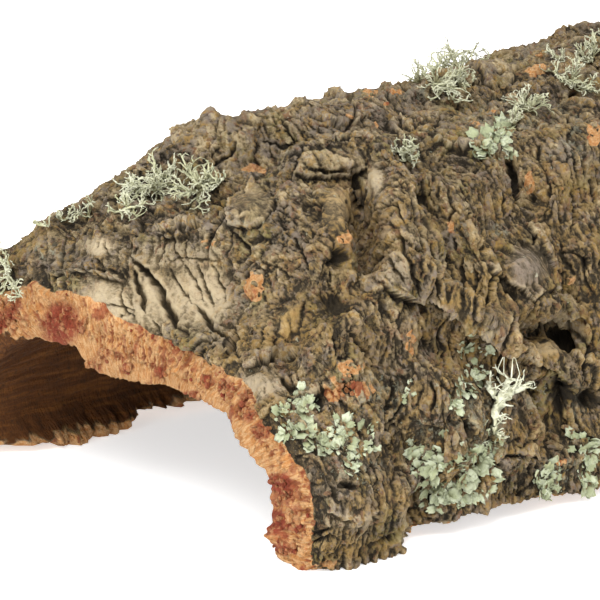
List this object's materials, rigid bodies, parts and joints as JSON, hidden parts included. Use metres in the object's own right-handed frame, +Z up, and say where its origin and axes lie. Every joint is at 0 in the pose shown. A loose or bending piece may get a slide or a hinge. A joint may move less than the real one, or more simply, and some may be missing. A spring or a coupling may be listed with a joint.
{
  "type": "cork bark slab",
  "caption": "Arched slab of rough virgin cork oak bark lying on its long edges like a tunnel, broken at the ends, with leafy and tufted lichens growing on its weathered outside",
  "frame": {"origin": "middle of the footprint, on the surface the slab rests on", "axes": "+X along the tunnel from the near end to the far end, +Y from the right leg to the left leg, +Z up"},
  "size_m": [0.3862, 0.2536, 0.156],
  "materials": {
    "cork_bark": "rough weathered cork bark, orange-tan where freshly broken",
    "leafy_lichen": "matt dry grey-green lichen",
    "tufted_lichen": "matt dry pale lichen strands"
  },
  "bodies": {
    "root": {"cork_slab": "cork_bark", "leafy_lichen_leg_upper": "leafy_lichen", "leafy_lichen_leg": "leafy_lichen", "leafy_lichen_flank_low": "leafy_lichen", "leafy_lichen_flank_high": "leafy_lichen", "leafy_lichen_crown": "leafy_lichen", "leafy_lichen_far_foot": "leafy_lichen", "leafy_lichen_left": "leafy_lichen", "leafy_lichen_far_end": "leafy_lichen", "tufted_lichen_near_top": "tufted_lichen", "tufted_lichen_near_brow": "tufted_lichen", "tufted_lichen_rim": "tufted_lichen", "tufted_lichen_shoulder": "tufted_lichen", "tufted_lichen_ridge": "tufted_lichen", "tufted_lichen_far_top": "tufted_lichen", "tufted_lichen_flank": "tufted_lichen", "tufted_lichen_left": "tufted_lichen"}
  },
  "joints": []
}
